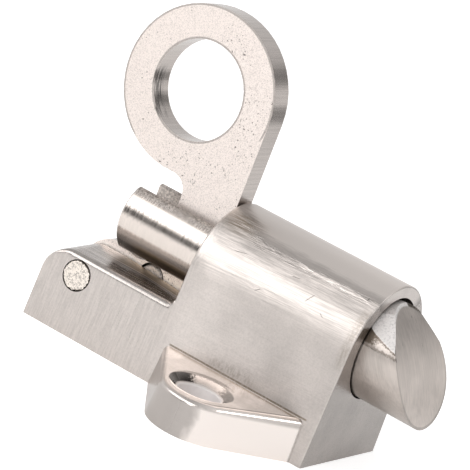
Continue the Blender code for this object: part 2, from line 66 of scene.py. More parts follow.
class Graph:
    """Adds shader nodes to one material or world, with places given in millimetres."""

    def __init__(self, tree: bpy.types.NodeTree) -> None:
        """Keep the node tree that the nodes go into."""
        self.tree = tree

    def add(self, kind: str, **settings: object) -> bpy.types.Node:
        """Add one node.

        Args:
            kind: the node's type name in Blender, without ShaderNode.
            settings: attributes of the node to set.

        Returns:
            The new node.
        """
        node = self.tree.nodes.new("ShaderNode" + kind)
        for name, value in settings.items():
            setattr(node, name, value)
        return node

    def feed(self, target: Socket, value: Value | tuple) -> None:
        """Link a socket into another, or set a plain value on it.

        Args:
            target: the input socket.
            value: an output socket, a number or a vector.
        """
        if isinstance(value, Socket):
            self.tree.links.new(value, target)
        else:
            target.default_value = value

    def compute(self, kind: str, inputs: dict, output: int | str = 0, **settings: object) -> Socket:
        """Add one node and feed it.

        Args:
            kind: the node's type name in Blender, without ShaderNode.
            inputs: what goes into which of its inputs, by number or by name.
            output: which output is wanted.
            settings: attributes of the node to set.

        Returns:
            That output.
        """
        node = self.add(kind, **settings)
        for slot, value in inputs.items():
            self.feed(node.inputs[slot], value)
        return node.outputs[output]

    def math(self, operation: str, a: Value, b: Value = 0.0) -> Socket:
        """Combine two numbers by one of Blender's operations."""
        return self.compute("Math", {0: a, 1: b}, operation=operation)

    def product(self, *values: Value) -> Socket:
        """Multiply several numbers."""
        return reduce(lambda a, b: self.math("MULTIPLY", a, b), values)

    def total(self, *values: Value) -> Socket:
        """Add several numbers."""
        return reduce(lambda a, b: self.math("ADD", a, b), values)

    def highest(self, *values: Value) -> Socket:
        """Give the highest of several numbers."""
        return reduce(lambda a, b: self.math("MAXIMUM", a, b), values)

    def less(self, a: Value, b: Value) -> Socket:
        """Subtract the second number from the first."""
        return self.math("SUBTRACT", a, b)

    def magnitude(self, value: Value) -> Socket:
        """Give a number without its sign."""
        return self.math("ABSOLUTE", value)

    def length(self, a: Value, b: Value) -> Socket:
        """Give the length of a flat vector with two components."""
        return self.math("SQRT", self.total(self.product(a, a), self.product(b, b)))

    def other(self, share: Socket) -> Socket:
        """Give what a share leaves of 1."""
        return self.less(1.0, share)

    def place(self) -> Socket:
        """Give the point's place on the object, in millimetres."""
        coordinates = self.add("TexCoord").outputs["Object"]
        return self.compute("VectorMath", {0: coordinates, "Scale": 1 / MM}, operation="SCALE")

    def split(self, vector: Socket) -> tuple[Socket, ...]:
        """Take a vector apart into its three components."""
        return tuple(self.compute("SeparateXYZ", {0: vector}).node.outputs)

    def join(self, x: Value, y: Value, z: Value) -> Socket:
        """Make a vector of three numbers."""
        return self.compute("CombineXYZ", {0: x, 1: y, 2: z})

    def above(self, vector: Socket, normal: Vector, point: Vector) -> Socket:
        """Give the height above the plane through a point, along its unit normal, in millimetres."""
        height = self.compute("VectorMath", {0: vector, 1: tuple(normal)}, "Value", operation="DOT_PRODUCT")
        return self.less(height, normal.dot(point))

    def turn_about(self, y: Value, z: Value, centre: float) -> Socket:
        """Give the angle round an axis along X, in degrees: 0 out to the side, 90 straight up."""
        angle = self.math("ARCTAN2", self.less(z, centre), y)
        return self.product(angle, 180 / pi)

    def noise(
            self, vector: Socket, scale: float | tuple = 1.0, detail: float = 2.0, roughness: float = 0.5,
            turn: float = 0.0) -> Socket:
        """Give a smooth random field around 0.5.

        Args:
            vector: the place, in millimetres.
            scale: how many features there are to the millimetre, for all axes or one by one.
            detail: how many finer layers are added.
            roughness: how strong the finer layers are.
            turn: how far the pattern is turned about Y, in degrees.

        Returns:
            The field's value.
        """
        if turn:
            angles = (0, radians(turn), 0)
            vector = self.compute("Mapping", {"Vector": vector, "Rotation": angles}, vector_type="POINT")
        if isinstance(scale, tuple):
            vector = self.compute("VectorMath", {0: vector, 1: scale}, operation="MULTIPLY")
            scale = 1.0
        inputs = {"Vector": vector, "Scale": scale, "Detail": detail, "Roughness": roughness}
        return self.compute("TexNoise", inputs, noise_dimensions="3D")

    def step(self, value: Value, start: Value, end: Value, low: Value = 0.0, high: Value = 1.0) -> Socket:
        """Change smoothly from low to high while a value goes from start to end."""
        inputs = dict(enumerate((value, start, end, low, high)))
        return self.compute("MapRange", inputs, interpolation_type="SMOOTHSTEP")

    def sway(self, noise: Socket, low: Value = 0.0, high: Value = 1.0) -> Socket:
        """Spread the usual range of a random field between two values."""
        return self.step(noise, NOISE_LOW, NOISE_HIGH, low, high)

    def within(self, value: Value, low: float, high: float, soft: float) -> Socket:
        """Give 1 between two limits and 0 outside them.

        Args:
            value: what is compared with the limits.
            low: the lower limit.
            high: the upper limit.
            soft: the width of the change at either limit.

        Returns:
            The share.
        """
        half = soft / 2
        rise = self.step(value, low - half, low + half)
        fall = self.step(value, high + half, high - half)
        return self.product(rise, fall)

    def stroke(self, u: Value, v: Value, centre: tuple, length: float, width: float, angle: float) -> Socket:
        """Draw a short straight mark in a pair of surface coordinates.

        Args:
            u: the first coordinate, in millimetres.
            v: the second coordinate, in millimetres.
            centre: the middle of the mark.
            length: its length.
            width: its width.
            angle: how far it is turned from the first coordinate, in degrees.

        Returns:
            1 on the mark and 0 away from it.
        """
        c, s = cos(radians(angle)), sin(radians(angle))
        du, dv = self.less(u, centre[0]), self.less(v, centre[1])
        along = self.magnitude(self.total(self.product(du, c), self.product(dv, s)))
        aside = self.magnitude(self.total(self.product(dv, c), self.product(du, -s)))
        reach = self.step(along, length / 2, length / 4)
        return self.product(reach, self.step(aside, width / 2, width / 6))

    def blend(self, share: Value, a: Value, b: Value) -> Socket:
        """Mix two numbers: a share of 0 gives the first, and 1 the second."""
        return self.compute("Mix", {0: share, 2: a, 3: b}, data_type="FLOAT")

    def tint(self, share: Value, a: Socket | tuple, b: Socket | tuple) -> Socket:
        """Mix two colours: a share of 0 gives the first, and 1 the second."""
        a, b = (colour if isinstance(colour, Socket) else (*colour, 1.0) for colour in (a, b))
        return self.compute("Mix", {0: share, 6: a, 7: b}, 2, data_type="RGBA")

    def shade(self, colour: Socket | tuple, factor: Value) -> Socket:
        """Multiply a colour by a factor."""
        return self.compute("VectorMath", {0: colour, "Scale": factor}, operation="SCALE")

    def relief(self, height: Value) -> Socket:
        """Turn a height field, in millimetres, into a normal."""
        return self.compute("Bump", {"Height": height, "Distance": MM, "Strength": 1.0})


class Grain(Enum):
    """Which way brush lines run: how often they change along X, Y and Z, to the millimetre."""

    LENGTHWISE = (0.09, 6.4, 6.4)
    ACROSS = (4.2, 0.06, 4.2)
    UPRIGHT = (4.4, 4.4, 0.06)
    ROUND = (6.0, 0.25, 0.25)


def new_material(name: str, metallic: float = 1.0) -> tuple[bpy.types.Material, Graph, bpy.types.Node]:
    """Start a material.

    Args:
        name: the material's name.
        metallic: 1 for a metal, 0 for anything else.

    Returns:
        The material, its graph and its Principled shader.
    """
    material = bpy.data.materials.new(name)
    material.use_nodes = True
    graph = Graph(material.node_tree)
    shader = material.node_tree.nodes["Principled BSDF"]
    shader.inputs["Metallic"].default_value = metallic
    return material, graph, shader


@dataclass(frozen=True)
class CastingPoint:
    """The point of the casting that is shaded: its place, and the fields that its finish shares."""

    graph: Graph
    place: Socket
    x: Socket
    y: Socket
    z: Socket
    reach: Socket
    turn: Socket
    wall: Socket
    lines: Socket
    along: Socket
    upright: Socket
    blotch: Socket
    sand: Socket
    on_barrel: Socket
    over_ridge: Socket
    cap: Socket


@dataclass(frozen=True)
class CastNickel:
    """Satin nickel on a zinc casting: brushed walls, smooth crown, polished ears and cheek tops."""

    colour: tuple = (0.60, 0.551, 0.520)
    # Darker, browner colour for the painted shadow line over the ears and for darker patches.
    shadow_and_patch_colour: tuple = (0.25, 0.205, 0.16)
    roughness: float = 0.35
    polished: float = 0.17
    line_depth: float = 0.013
    barrel_rear: float = -12.6
    front: float = 14.8
    half_width: float = 11.3
    draft: float = radians(3.55)
    crown_radius: float = 10.25
    crown_centre: float = 16.6
    cheek_top: float = 11.0
    ear_height: float = 6.15
    ear_lean: float = 0.0535
    screw_y: float = 18.5
    screw_head: float = 4.75
    ear_centre: tuple = (0.6, 18.8)
    ear_radius: float = 6.5
    ear_flanks: tuple = ((0.846, 0.533), (-0.860, 0.510))
    tip_from: tuple = (3.2, 3.5)
    far_inside: float = -9.0
    cap_from: float = 50.0
    cap_rise: float = 18.0
    cap_rises: tuple = (-4.0, -11.8)
    # Where the painted highlight under the cap runs along X.
    ridge_highlight_ends: tuple = (2.0, 13.2)
    # Where the painted shadow line over the ears runs along X.
    ear_shadow_line_ends: tuple = (-10.6, 12.9)
    # Where the darker patches over the ears run along X.
    dark_patch_ends: tuple = (-3.8, 3.2)
    rim_ends: tuple = (13.4, 14.7)
    # How much darker the front face is coloured: painted shade.
    face_shade: float = 0.74
    face_roughness: float = 0.27
    channel_roughness: float = 0.46
    bore_top: tuple = (5.0, 4.7)
    # Colour of the bore under the countersink, lighter as if lit: painted light.
    bore_painted_light: tuple = (0.82, 0.79, 0.78)
    # Colour of the painted brown reflection on the cheek tops.
    painted_reflection_brown: tuple = (0.42, 0.31, 0.19)
    # Where the painted reflections in a countersink turn dark, in degrees round the hole.
    sink_rear: tuple = (128.0, 144.0)
    sink_front: tuple = (4.0, 70.0)
    scratches: tuple = (
        ((5.8, 27.5), 2.0, 0.11, 62.0), ((12.9, 50.0), 0.8, 0.16, 80.0), ((-1.6, 14.0), 1.1, 0.1, 35.0),
        ((8.6, 20.0), 0.9, 0.09, -30.0), ((2.4, 37.0), 1.6, 0.09, 8.0), ((-6.6, 34.0), 2.4, 0.08, 12.0))

    def material(self) -> bpy.types.Material:
        """Build the finish.

        Returns:
            The material.
        """
        material, graph, shader = new_material("satin_nickel_casting")
        place = graph.place()
        x, y, z = graph.split(place)
        reach = graph.magnitude(y)
        turn = graph.turn_about(reach, z, self.crown_centre)
        upright = graph.noise(place, Grain.UPRIGHT.value, detail=3, roughness=0.6)
        along = graph.noise(place, Grain.LENGTHWISE.value, detail=4, roughness=0.62, turn=3)
        slanted = graph.noise(place, Grain.LENGTHWISE.value, detail=3, turn=-8)
        crossed = graph.blend(0.22, along, slanted)
        on_barrel = graph.step(x, self.barrel_rear - 0.8, self.barrel_rear + 3.0)
        lines = graph.blend(on_barrel, upright, crossed)
        blotch = graph.noise(place, 0.16, detail=3)
        sand = graph.noise(place, 3.4, detail=3, roughness=0.75)

        lumps = graph.noise(place, (0.45, 2.0, 2.0), detail=3, roughness=0.6)
        rear = graph.step(x, -3.0, -8.0)
        ragged = graph.product(graph.sway(along, -3.5, 3.5), graph.blend(rear, 0.35, 1.0))
        ragged = graph.total(ragged, graph.sway(lumps, -1.2, 1.2))
        boundary = graph.step(x, *self.cap_rises, self.cap_from, self.cap_from + self.cap_rise)
        over_ridge = graph.less(graph.total(turn, ragged), boundary)
        cap = graph.product(graph.step(over_ridge, -0.6, 0.6), on_barrel)
        wall = graph.less(self.half_width, graph.product(z, tan(self.draft)))
        on_ear = graph.product(
            graph.step(graph.less(reach, wall), 0.1, 0.4),
            graph.step(z, self.ear_height + 0.8, self.ear_height + 0.3))
        on_cheek_top = graph.product(
            graph.step(z, self.cheek_top - 0.5, self.cheek_top),
            graph.step(x, self.barrel_rear, self.barrel_rear - 0.6))
        on_face = graph.step(x, self.front - 0.12, self.front - 0.02)
        bright = graph.highest(on_cheek_top, on_ear)
        at = CastingPoint(
            graph, place, x, y, z, reach, turn, wall, lines, along, upright, blotch, sand, on_barrel,
            over_ridge, cap)
        in_hole = self.screw_hole(at)

        tone = graph.blend(bright, self.brushed_tone(at), self.polished_tone(at, on_ear))
        # Painted shade: the front face is coloured darker than the rest of the casting.
        tone = graph.product(tone, graph.blend(on_face, 1.0, self.face_shade))
        height = graph.product(
            graph.less(lines, 0.5), graph.blend(cap, 1.0, 0.12), graph.blend(bright, 1.0, 0.08),
            self.line_depth * 2)
        ridge = graph.product(
            graph.within(over_ridge, -4.5, 1.0, 3.0), on_barrel, graph.step(lumps, 0.3, 0.6))
        marks = self.marks(at)
        dabs = graph.product(graph.noise(place, (0.8, 1.5, 1.5), detail=3, roughness=0.6), on_barrel)
        height = graph.total(
            height, graph.product(ridge, 0.05), graph.product(marks, -0.03),
            graph.product(dabs, graph.blend(cap, 0.032, 0.004)), graph.product(in_hole, sand, 0.02))
        satin = graph.total(
            graph.step(lines, 0.2, 0.8, self.roughness - 0.07, self.roughness + 0.07),
            graph.sway(blotch, -0.03, 0.03), graph.product(graph.step(turn, -10.0, 14.0), on_barrel, 0.12))
        satin = graph.blend(cap, satin, self.roughness + 0.05)
        cheek_rough = graph.sway(graph.noise(place, (0.1, 3.6, 3.6), detail=2), 0.20, 0.30)
        near_channel = graph.product(graph.step(reach, 7.0, 5.0), graph.step(x, -29.0, -25.0))
        cheek_rough = graph.blend(near_channel, cheek_rough, self.channel_roughness)
        rough = graph.blend(on_cheek_top, satin, cheek_rough)
        rough = graph.blend(on_ear, rough, graph.step(x, 3.0, 0.0, self.polished, 0.30))
        rough = graph.blend(on_face, rough, self.face_roughness)
        graph.feed(
            shader.inputs["Roughness"],
            graph.blend(in_hole, rough, graph.step(z, *self.bore_top, 0.2, 0.7)))

        tone = graph.product(
            tone, graph.blend(marks, 1.0, 0.28), graph.blend(in_hole, 1.0, self.countersink_painted_light(at)))
        colour = graph.tint(self.shadow_line_and_dark_patches(at), graph.shade(self.colour, tone), self.shadow_and_patch_colour)
        # Painted reflection: a brown band on the cheek tops beside the channel, where they mirror the stem's
        # underside.
        cheek_reflected_brown = graph.product(on_cheek_top, graph.step(reach, 5.9, 5.0), graph.step(x, -27.5, -24.0), 0.6)
        colour = graph.tint(cheek_reflected_brown, colour, self.painted_reflection_brown)
        # Painted light: the bore under the countersink is coloured lighter, as if lit.
        colour = graph.tint(graph.product(in_hole, graph.step(z, *self.bore_top)), colour, self.bore_painted_light)
        graph.feed(shader.inputs["Base Color"], colour)
        graph.feed(shader.inputs["Normal"], graph.relief(height))
        return material

    def ear_rim(self, at: CastingPoint) -> Socket:
        """Measure how far a point is inside an ear's outline.

        Args:
            at: the point.

        Returns:
            The distance in millimetres, negative inside.
        """
        graph = at.graph
        dx = graph.less(at.x, self.ear_centre[0])
        dy = graph.less(at.reach, self.ear_centre[1])
        tip = graph.less(graph.length(dx, dy), self.ear_radius)
        result = graph.blend(graph.step(dy, *self.tip_from), self.far_inside, tip)
        for along, aside in self.ear_flanks:
            flank = graph.total(graph.product(dx, along), graph.product(dy, aside), -self.ear_radius)
            result = graph.highest(result, flank)
        return result

    def polished_tone(self, at: CastingPoint, on_ear: Socket) -> Socket:
        """Give the brightness of the ears' and the cheeks' tops, with painted highlights, shade and
        reflections on them.

        Args:
            at: the point.
            on_ear: where the ears are.

        Returns:
            The factor on the colour.
        """
        graph = at.graph
        rim = self.ear_rim(at)
        soft = graph.noise(at.place, 0.35, detail=2)
        drift = graph.sway(soft, -1.5, 1.5)
        speckle = graph.noise(at.place, 3.4, detail=3, roughness=0.75)
        # Painted light on the ear's top: lighter at its rear end and darker towards its front tip; on its
        # side, painted shade at the rear and lighter at the front.
        top = graph.product(
            graph.step(graph.total(at.x, drift), 2.5, 7.5, 1.0, 0.64),
            graph.step(speckle, 0.3, 0.6, 0.90, 1.03),
            graph.step(graph.total(at.x, drift), -9.5, -5.5, 1.30, 1.0))
        side = graph.step(graph.total(at.x, graph.product(drift, 0.5)), 2.0, 4.2, 0.74, 1.42)
        upper = graph.step(at.z, self.ear_height - 1.5, self.ear_height - 0.9)
        # A painted shade line along the inside of each ear's front rim, and a painted highlight along the
        # rim.
        rim_shade_line = graph.product(graph.within(rim, -1.60, -1.25, 0.2), graph.step(at.x, 1.0, 4.0))
        rim_painted_highlight = graph.product(graph.within(rim, -1.2, -0.45, 0.25), graph.step(at.x, 2.0, 5.0), upper)
        ear = graph.product(
            graph.blend(upper, side, top), graph.blend(graph.product(rim_shade_line, upper), 1.0, 0.45))
        ear = graph.blend(rim_painted_highlight, ear, 1.60)
        streaks = graph.noise(at.place, (0.08, 3.0, 3.0), detail=2)
        ahead = graph.step(at.x, -27.5, -24.0)
        # Painted reflections of the stem's underside on the cheek tops: darker from the channel out to about
        # 6 mm, with a light line near that border.
        channel_reflection_dark = graph.product(graph.step(at.reach, 6.1, 5.8), ahead)
        reflected_light_line = graph.product(graph.within(at.reach, 5.3, 5.6, 0.15), ahead)
        cheek = graph.product(
            graph.sway(streaks, 0.70, 1.10), graph.step(speckle, 0.3, 0.6, 0.72, 0.95),
            graph.blend(channel_reflection_dark, 1.0, 0.60))
        cheek = graph.total(cheek, graph.product(reflected_light_line, 0.9))
        # Painted shade: darker on the rounded outer edge, to dim its highlight.
        cheek = graph.product(cheek, graph.step(at.reach, 9.4, 9.9, 1.0, 0.86))
        return graph.blend(on_ear, cheek, ear)

    def brushed_tone(self, at: CastingPoint) -> Socket:
        """Give the brightness of the brushed walls and of the smooth cap, with painted shade and highlights
        on the barrel.

        Args:
            at: the point.

        Returns:
            The factor on the colour.
        """
        graph = at.graph
        low = graph.product(
            graph.step(at.lines, 0.2, 0.75, 0.82, 0.92), graph.sway(at.blotch, 0.92, 1.08),
            graph.step(at.sand, 0.3, 0.65, 0.93, 1.05))
        high = graph.product(graph.step(at.lines, 0.34, 0.66, 0.72, 1.22), graph.sway(at.blotch, 0.94, 1.06))
        tail = graph.product(graph.sway(at.lines, 0.90, 1.07), graph.step(at.sand, 0.3, 0.65, 0.94, 1.04))
        # Painted shade: the barrel's sides are darker below about 2 degrees and lighter from 22 degrees up.
        painted_wall_light = graph.blend(
            graph.product(graph.step(at.turn, 2.0, 22.0), at.on_barrel),
            graph.blend(at.on_barrel, tail, low), high)
        # Painted shade: the barrel is lighter at its rear and darker towards its front.
        side = graph.step(at.x, self.barrel_rear, self.front, 1.10, 0.92)
        side = graph.blend(at.on_barrel, 1.0, side)
        # Painted highlight: a bright stripe along the brush lines just under the crown's smooth cap.
        ridge_painted_highlight = graph.product(
            graph.within(at.over_ridge, -3.2, -0.9, 1.4), graph.within(at.x, *self.ridge_highlight_ends, 4.0))
        painted_wall_light = graph.total(painted_wall_light, graph.product(ridge_painted_highlight, graph.step(at.lines, 0.3, 0.55), 0.55))
        # Painted light on the crown: lighter below 25 degrees and darker above 35, and lighter again above
        # 43 degrees at the front.
        crown_painted_highlight = graph.product(
            graph.step(at.turn, 25.0, 35.0, 1.08, 0.84),
            graph.blend(graph.step(at.x, -4.0, 8.0), 1.0, graph.step(at.turn, 35.0, 43.0, 1.0, 1.35)))
        # Painted shade on the smooth cap: darker just over its lower edge and past the top, and lighter
        # towards the front.
        smooth = graph.product(
            graph.step(at.x, self.barrel_rear, self.front, 1.10, 1.22),
            graph.step(at.turn, 78.0, 102.0, 1.06, 0.88), graph.step(at.over_ridge, 2.0, 12.0, 0.64, 1.0))
        return graph.blend(at.cap, graph.product(painted_wall_light, side, graph.blend(at.on_barrel, 1.0, crown_painted_highlight)), smooth)

    def marks(self, at: CastingPoint) -> Socket:
        """Scratch the crown.

        Args:
            at: the point.

        Returns:
            1 in a scratch.
        """
        graph = at.graph
        to_arc = self.crown_radius * pi / 180
        arc = graph.product(at.turn, to_arc)
        strokes = []
        for (at_x, at_turn), length, width, angle in self.scratches:
            strokes.append(graph.stroke(at.x, arc, (at_x, at_turn * to_arc), length, width, angle))
        return graph.product(graph.highest(*strokes), at.on_barrel)

    def screw_hole(self, at: CastingPoint) -> Socket:
        """Find the screw holes' walls.

        Args:
            at: the point.

        Returns:
            1 inside a screw hole.
        """
        graph = at.graph
        offset = graph.length(at.x, graph.less(at.reach, self.screw_y))
        near = graph.step(offset, self.screw_head + 0.05, self.screw_head - 0.15)
        return graph.product(near, graph.step(at.z, self.ear_height + 0.4, self.ear_height))

    def countersink_painted_light(self, at: CastingPoint) -> Socket:
        """Give the painted light in a screw hole: reflections that change round the cone, and a lit look on
        the bore below it.

        Args:
            at: the point.

        Returns:
            The factor on the colour.
        """
        graph = at.graph
        aside = graph.less(graph.magnitude(at.y), self.screw_y)
        back = graph.product(aside, -1.0)
        turn = graph.total(
            graph.product(graph.math("ARCTAN2", back, at.x), 180 / pi), graph.sway(at.sand, -7.0, 7.0))
        rear = graph.step(graph.magnitude(turn), *self.sink_rear)
        front = graph.within(turn, *self.sink_front, 30.0)
        # Painted reflections round the cone: light over most of it, nearly black at its rear and darker at
        # its front; below the countersink the bore is made lighter, as if lit.
        tone = graph.product(graph.blend(rear, 1.6, 0.05), graph.blend(front, 1.0, 0.22))
        return graph.blend(graph.step(at.z, *self.bore_top), tone, 1.75)

    def shadow_line_and_dark_patches(self, at: CastingPoint) -> Socket:
        """Find where the colour turns darker and browner: a painted shadow line where each ear meets the
        wall, and darker patches over the ears, at the crown's rear and round the front edge.

        Args:
            at: the point.

        Returns:
            The share of the darker colour.
        """
        graph = at.graph
        on_wall = graph.step(graph.less(at.reach, at.wall), 0.2, 0.0)
        ear_top = graph.less(
            self.ear_height, graph.product(graph.less(at.reach, self.half_width), self.ear_lean))
        over = graph.less(at.z, ear_top)
        # A painted shadow line on the wall just over each ear's top, where ear and wall meet.
        ear_shadow_line = graph.product(
            graph.within(over, 0.08, 0.34, 0.12), on_wall, graph.step(at.upright, 0.3, 0.5, 0.5, 0.9),
            graph.within(at.x, *self.ear_shadow_line_ends, 0.4))
        flecks = graph.noise(graph.join(at.x, at.reach, at.z), (3.2, 3.2, 1.1), detail=3, roughness=0.7)
        dark_patch = graph.product(
            graph.within(over, 0.1, 1.7, 1.4), graph.within(at.x, *self.dark_patch_ends, 3.4), on_wall,
            graph.step(flecks, 0.54, 0.42), 0.38)
        rear = graph.product(
            graph.within(at.turn, 47.0, 68.0, 12.0), graph.step(at.x, -5.0, -10.0), at.on_barrel,
            graph.step(at.along, 0.62, 0.46), 0.9)
        rim = graph.product(
            graph.within(at.x, *self.rim_ends, 0.8), graph.within(at.turn, -8.0, 40.0, 10.0), at.on_barrel,
            graph.step(flecks, 0.60, 0.40, 0.10, 0.42))
        return graph.highest(ear_shadow_line, rim, dark_patch, rear)


@dataclass(frozen=True)
class BoltSteel:
    """Turned and brushed steel: satin nose with a grainy flat, brushed slam face, bright stem."""

    colour: tuple = (0.575, 0.518, 0.478)
    flat_colour: tuple = (0.79, 0.757, 0.740)
    # Colour of the painted dark reflections on the nose.
    reflection_dark_colour: tuple = (0.062, 0.045, 0.030)
    roughness: float = 0.33
    stem_roughness: float = 0.21
    line_depth: float = 0.006
    front: float = 14.8
    height: float = 17.3
    stem_height: float = 17.6
    radius: float = 7.4
    stem_end: float = 7.0
    stem_radius: float = 5.6
    droop: float = radians(0.5)
    roll: float = radians(2.5)
    flat_roll: float = radians(45.0)
    flat_tilt: float = radians(5.6)
    flat_depth: float = 0.14
    flat_roughness: float = 0.55
    shadow_from: float = -12.5
    # Where the painted dark reflection runs round the stem, in degrees.
    reflection_band: tuple = (6.0, 21.5)
    grey_from: float = 40.0
    axis_drop: float = 0.15

    def flat_plane(self) -> tuple[Vector, Vector]:
        """Work out where the near flat lies on the bolt as it hangs in its bore.

        Returns:
            The flat's normal and a point on it, in millimetres.
        """
        hang = Matrix.Rotation(self.droop, 3, "Y") @ Matrix.Rotation(self.roll, 3, "X")
        lean = Matrix.Rotation(self.flat_roll, 3, "X")
        normal = hang @ lean @ Matrix.Rotation(self.flat_tilt, 3, "Y") @ Vector((0, 0, 1))
        point = Vector((self.front, 0, 0)) + lean @ Vector((0, 0, self.radius - self.flat_depth))
        return normal, Vector((0, 0, self.height)) + hang @ point

    def material(self) -> bpy.types.Material:
        """Build the finish.

        Returns:
            The material.
        """
        material, graph, shader = new_material("bolt_steel")
        place = graph.place()
        x, y, z = graph.split(place)
        reach = graph.product(y, -1.0)
        on_stem = graph.step(x, self.stem_end, self.stem_end - 1.0)
        turn = graph.turn_about(graph.magnitude(y), z, self.stem_height + self.axis_drop)
        nose_turn = graph.turn_about(reach, z, self.height - self.axis_drop)
        lines = graph.noise(place, Grain.UPRIGHT.value, detail=3, roughness=0.6, turn=32)
        rings = graph.noise(place, Grain.ROUND.value, detail=3, roughness=0.65)
        sand = graph.noise(place, 3.4, detail=3, roughness=0.75)
        blotch = graph.noise(place, 0.3, detail=3)

        over = graph.above(place, *self.flat_plane())
        skin = self.skin(graph, y, z, self.height - self.axis_drop, self.radius)
        on_flat = graph.highest(
            graph.step(over, -0.035, -0.012), graph.product(graph.within(nose_turn, 46.0, 96.0, 3.0), skin))
        on_flat = graph.product(on_flat, graph.step(x, self.front - 1.0, self.front))
        # Painted dark reflections on the nose under its flat: a band along the flat's edge, a line lower
        # down and a patch near the bore.
        edge = graph.total(over, graph.sway(sand, -0.06, 0.06))
        reflected_dark = graph.product(
            graph.within(edge, -0.14, -0.03, 0.05), skin, graph.step(nose_turn, 44.0, 40.0), 0.8)
        dark_patch = graph.product(
            graph.step(graph.total(x, graph.sway(sand, -0.6, 0.6)), 17.2, 15.7),
            graph.step(nose_turn, 11.5, 17.0), skin)
        under = graph.product(
            graph.within(graph.total(nose_turn, graph.sway(sand, -1.0, 1.0)), 11.5, 14.5, 2.0), skin, 0.6)
        reflected_dark = graph.highest(reflected_dark, under, graph.product(dark_patch, 0.92))
        reflected_dark = graph.product(reflected_dark, graph.other(on_flat), graph.other(on_stem))

        outer = self.skin(graph, y, z, self.stem_height + self.axis_drop, self.stem_radius)
        shadow = graph.step(
            graph.total(turn, graph.sway(rings, -1.0, 1.0)), self.shadow_from, self.shadow_from - 5.5)
        # Painted shade on the stem's underside, deeper below -32 degrees.
        dusk = graph.step(turn, -32.0, -42.0, 1.0, 0.55)
        grey_top = graph.step(
            graph.total(turn, graph.sway(rings, -4.0, 4.0)), self.grey_from, self.grey_from + 7.0)
        # Painted reflection: a dark band round the stem between 6 and 21.5 degrees.
        reflected_dark_band = graph.within(graph.total(turn, graph.sway(rings, -2.5, 2.5)), *self.reflection_band, 7.0)
        # Painted light on the stem: shade underneath, the dark reflected band, and darker above 38 degrees.
        stem_tone = graph.product(
            graph.step(rings, 0.2, 0.8, 1.22, 1.40), graph.blend(shadow, 1.0, 0.45), dusk,
            graph.step(turn, 29.0, 38.0, 1.0, 0.72),
            graph.blend(grey_top, 1.0, graph.sway(sand, 0.35, 1.15)),
            graph.blend(reflected_dark_band, 1.0, graph.sway(rings, 0.50, 0.70)))
        stem_tone = graph.blend(outer, graph.sway(sand, 0.55, 1.25), stem_tone)
        # Painted shade on the slam face: darker at the top and lighter towards its foot.
        slam_face_shading = graph.step(z, self.height + 5.0, self.height - 5.0, 0.94, 1.32)
        nose_tone = graph.product(
            graph.step(lines, 0.15, 0.8, 0.85, 1.10), graph.sway(blotch, 0.93, 1.05),
            graph.blend(skin, slam_face_shading, 0.94))
        tone = graph.blend(on_stem, nose_tone, stem_tone)
        colour = graph.tint(reflected_dark, graph.shade(self.colour, tone), self.reflection_dark_colour)
        flat = graph.shade(self.flat_colour, graph.step(sand, 0.3, 0.55, 0.74, 1.0))
        graph.feed(shader.inputs["Base Color"], graph.tint(on_flat, colour, flat))

        satin = graph.step(lines, 0.2, 0.8, self.roughness - 0.06, self.roughness + 0.06)
        stem_rough = graph.blend(grey_top, graph.sway(rings, self.stem_roughness - 0.03, 0.24), 0.42)
        stem_rough = graph.blend(outer, 0.5, stem_rough)
        rough = graph.blend(on_stem, satin, stem_rough)
        graph.feed(shader.inputs["Roughness"], graph.blend(on_flat, rough, self.flat_roughness))
        fine = graph.blend(
            on_stem, graph.product(lines, self.line_depth * 2),
            graph.product(rings, graph.blend(grey_top, 0.0025, 0.004)))
        grain = graph.product(
            sand, graph.blend(graph.highest(on_flat, graph.product(grey_top, on_stem)), 0.0, 0.02))
        graph.feed(shader.inputs["Normal"], graph.relief(graph.total(fine, grain)))
        return material

    def skin(self, graph: Graph, y: Socket, z: Socket, centre: float, radius: float) -> Socket:
        """Give 1 on the round outside of the nose or stem, and 0 on faces inside it."""
        out = graph.length(y, graph.less(z, centre))
        return graph.step(out, radius - 0.45, radius - 0.25)


